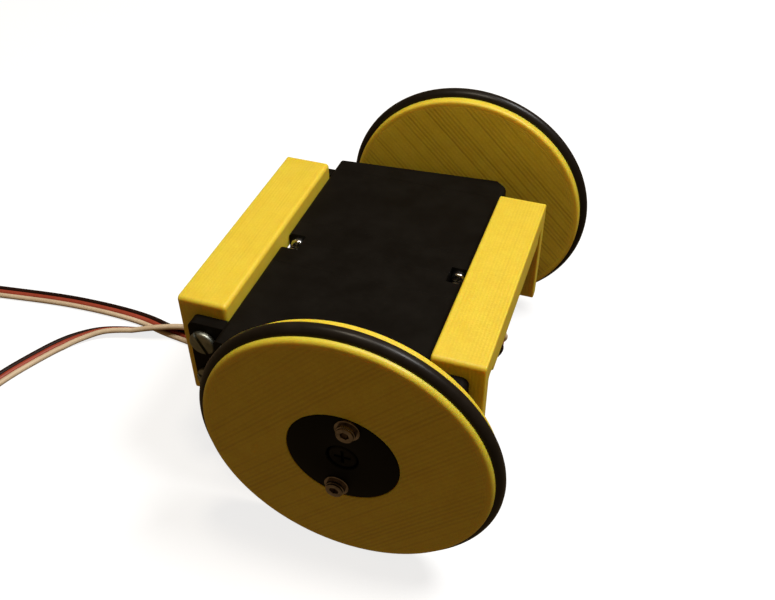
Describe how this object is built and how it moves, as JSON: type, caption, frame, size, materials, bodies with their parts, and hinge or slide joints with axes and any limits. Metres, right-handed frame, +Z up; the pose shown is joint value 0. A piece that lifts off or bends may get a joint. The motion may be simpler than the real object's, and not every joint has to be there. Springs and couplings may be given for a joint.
{
  "type": "self balancing robot",
  "caption": "Two-wheeled balancing robot: two hobby servos back to back in printed brackets, with a rubber-tyred disc wheel on each servo shaft and two loose three-wire leads.",
  "frame": {"origin": "on the ground, under the middle of the robot without its leads", "axes": "+Z up, +X to the front, where the wheel shafts are, +Y to the robot's left along the wheel axles"},
  "size_m": [0.1853, 0.1194, 0.0582],
  "materials": {
    "printed_yellow": "printed in layers, satin",
    "servo_black": "moulded, fine satin texture",
    "horn_black": "moulded, matte",
    "plug_black": "moulded, satin",
    "rubber_black": "matte",
    "tyre_rubber": "smooth rubber ring",
    "screw_steel": "bright",
    "screw_black": "blackened",
    "washer_steel": "bright",
    "bolt_zinc": "dull zinc",
    "motor_steel": "plated can",
    "bush_brass": "turned",
    "pinion_brass": "cut teeth",
    "gear_nylon": "moulded nylon",
    "board_green": "solder-masked board",
    "pot_blue": "moulded",
    "lead_insulation": "three soft PVC wires: black, red, white"
  },
  "bodies": {
    "chassis": {"front_bracket": "printed_yellow", "rear_bracket": "printed_yellow", "ear_bolts": "bolt_zinc", "ear_nuts": "bolt_zinc", "left_servo_bottom_cover": "servo_black", "left_servo_case": "servo_black", "left_servo_top_cover": "servo_black", "left_case_screws": "screw_steel", "left_lead_grommet": "rubber_black", "left_circuit_board": "board_green", "left_motor": "motor_steel", "left_potentiometer": "pot_blue", "left_gear_pin": "screw_steel", "left_output_bush": "bush_brass", "left_lead": "lead_insulation", "left_lead_plug": "plug_black", "right_servo_bottom_cover": "servo_black", "right_servo_case": "servo_black", "right_servo_top_cover": "servo_black", "right_case_screws": "screw_steel", "right_lead_grommet": "rubber_black", "right_circuit_board": "board_green", "right_motor": "motor_steel", "right_potentiometer": "pot_blue", "right_gear_pin": "screw_steel", "right_output_bush": "bush_brass", "right_lead": "lead_insulation", "right_lead_plug": "plug_black"},
    "left_wheel": {"left_wheel_rim": "printed_yellow", "left_tyre": "tyre_rubber", "left_servo_horn": "horn_black", "left_horn_screw": "screw_black", "left_wheel_washers": "washer_steel", "left_wheel_screws": "screw_steel", "left_output_gear": "gear_nylon"},
    "left_gear_3_body": {"left_gear_3": "gear_nylon"},
    "left_gear_2_body": {"left_gear_2": "gear_nylon"},
    "left_gear_1_body": {"left_gear_1": "gear_nylon"},
    "left_motor_pinion_body": {"left_motor_pinion": "pinion_brass"},
    "right_wheel": {"right_wheel_rim": "printed_yellow", "right_tyre": "tyre_rubber", "right_servo_horn": "horn_black", "right_horn_screw": "screw_black", "right_wheel_washers": "washer_steel", "right_wheel_screws": "screw_steel", "right_output_gear": "gear_nylon"},
    "right_gear_3_body": {"right_gear_3": "gear_nylon"},
    "right_gear_2_body": {"right_gear_2": "gear_nylon"},
    "right_gear_1_body": {"right_gear_1": "gear_nylon"},
    "right_motor_pinion_body": {"right_motor_pinion": "pinion_brass"}
  },
  "joints": [
    {"name": "left_wheel_spin", "type": "hinge", "parent": "chassis", "child": "left_wheel", "pos_m": [0.00553, 0.0412, 0.0291], "axis": [0, 1, 0], "continuous": true},
    {"name": "left_gear_3_spin", "type": "hinge", "parent": "chassis", "child": "left_gear_3_body", "pos_m": [-0.00407, 0.027, 0.0291], "axis": [0, 1, 0], "continuous": true},
    {"name": "left_gear_2_spin", "type": "hinge", "parent": "chassis", "child": "left_gear_2_body", "pos_m": [0.00553, 0.027, 0.0291], "axis": [0, 1, 0], "continuous": true},
    {"name": "left_gear_1_spin", "type": "hinge", "parent": "chassis", "child": "left_gear_1_body", "pos_m": [-0.00407, 0.027, 0.0291], "axis": [0, 1, 0], "continuous": true},
    {"name": "left_motor_pinion_spin", "type": "hinge", "parent": "chassis", "child": "left_motor_pinion_body", "pos_m": [-0.01367, 0.027, 0.0291], "axis": [0, 1, 0], "continuous": true},
    {"name": "right_wheel_spin", "type": "hinge", "parent": "chassis", "child": "right_wheel", "pos_m": [0.00553, -0.0412, 0.0291], "axis": [0, 1, 0], "continuous": true},
    {"name": "right_gear_3_spin", "type": "hinge", "parent": "chassis", "child": "right_gear_3_body", "pos_m": [-0.00407, -0.027, 0.0291], "axis": [0, 1, 0], "continuous": true},
    {"name": "right_gear_2_spin", "type": "hinge", "parent": "chassis", "child": "right_gear_2_body", "pos_m": [0.00553, -0.027, 0.0291], "axis": [0, 1, 0], "continuous": true},
    {"name": "right_gear_1_spin", "type": "hinge", "parent": "chassis", "child": "right_gear_1_body", "pos_m": [-0.00407, -0.027, 0.0291], "axis": [0, 1, 0], "continuous": true},
    {"name": "right_motor_pinion_spin", "type": "hinge", "parent": "chassis", "child": "right_motor_pinion_body", "pos_m": [-0.01367, -0.027, 0.0291], "axis": [0, 1, 0], "continuous": true}
  ],
  "couplings": [
    {"joint": "left_gear_3_spin", "follows": "left_wheel_spin", "ratio": -2.4286},
    {"joint": "left_gear_2_spin", "follows": "left_wheel_spin", "ratio": 7.2857},
    {"joint": "left_gear_1_spin", "follows": "left_wheel_spin", "ratio": -21.857},
    {"joint": "left_motor_pinion_spin", "follows": "left_wheel_spin", "ratio": 83.057},
    {"joint": "right_gear_3_spin", "follows": "right_wheel_spin", "ratio": -2.4286},
    {"joint": "right_gear_2_spin", "follows": "right_wheel_spin", "ratio": 7.2857},
    {"joint": "right_gear_1_spin", "follows": "right_wheel_spin", "ratio": -21.857},
    {"joint": "right_motor_pinion_spin", "follows": "right_wheel_spin", "ratio": 83.057}
  ]
}
